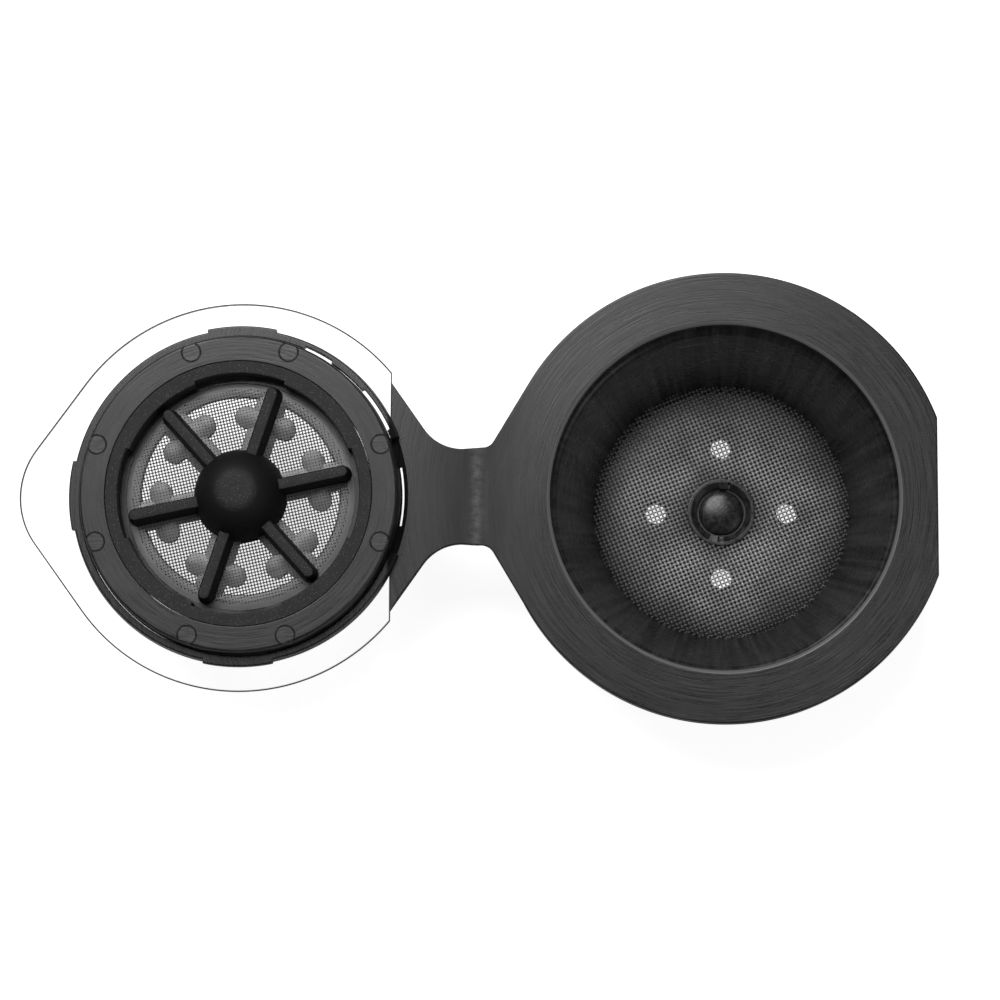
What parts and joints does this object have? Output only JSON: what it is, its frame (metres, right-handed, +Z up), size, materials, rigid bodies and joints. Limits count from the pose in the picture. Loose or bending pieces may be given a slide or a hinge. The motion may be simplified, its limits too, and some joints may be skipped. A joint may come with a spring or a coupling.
{
  "type": "reusable coffee capsule",
  "caption": "Open refillable coffee capsule: flanged cup with a woven sieve, joined by a moulded strap to a round filter lid on a clear plate.",
  "frame": {"origin": "centre of the cup's flat outer base", "axes": "+Z up along the cup's axis, +X away from the lid, which lies open towards -X"},
  "size_m": [0.1298, 0.064, 0.0283],
  "materials": {
    "satin_black_plastic": "black plastic, satin, with fine turned brushing",
    "grained_black_plastic": "black plastic with a fine spark-eroded grain",
    "clear_plastic": "clear, polished sheet",
    "steel_cloth": "fine plain-woven stainless wire"
  },
  "bodies": {
    "cup": {"cup_body": "satin_black_plastic", "cup_sieve": "steel_cloth", "floor_socket": "satin_black_plastic", "floor_plug": "satin_black_plastic"},
    "lid": {"lid_strap": "satin_black_plastic", "clear_plate": "clear_plastic", "lid_ring": "satin_black_plastic", "retaining_ring": "grained_black_plastic", "filter_frame": "satin_black_plastic", "lid_sieve": "steel_cloth", "lid_star": "grained_black_plastic"}
  },
  "joints": [
    {"name": "lid_hinge", "type": "hinge", "parent": "cup", "child": "lid", "pos_m": [-0.03415, 0, 0.02115], "axis": [0, 1, 0], "range_deg": [0, 180]}
  ]
}
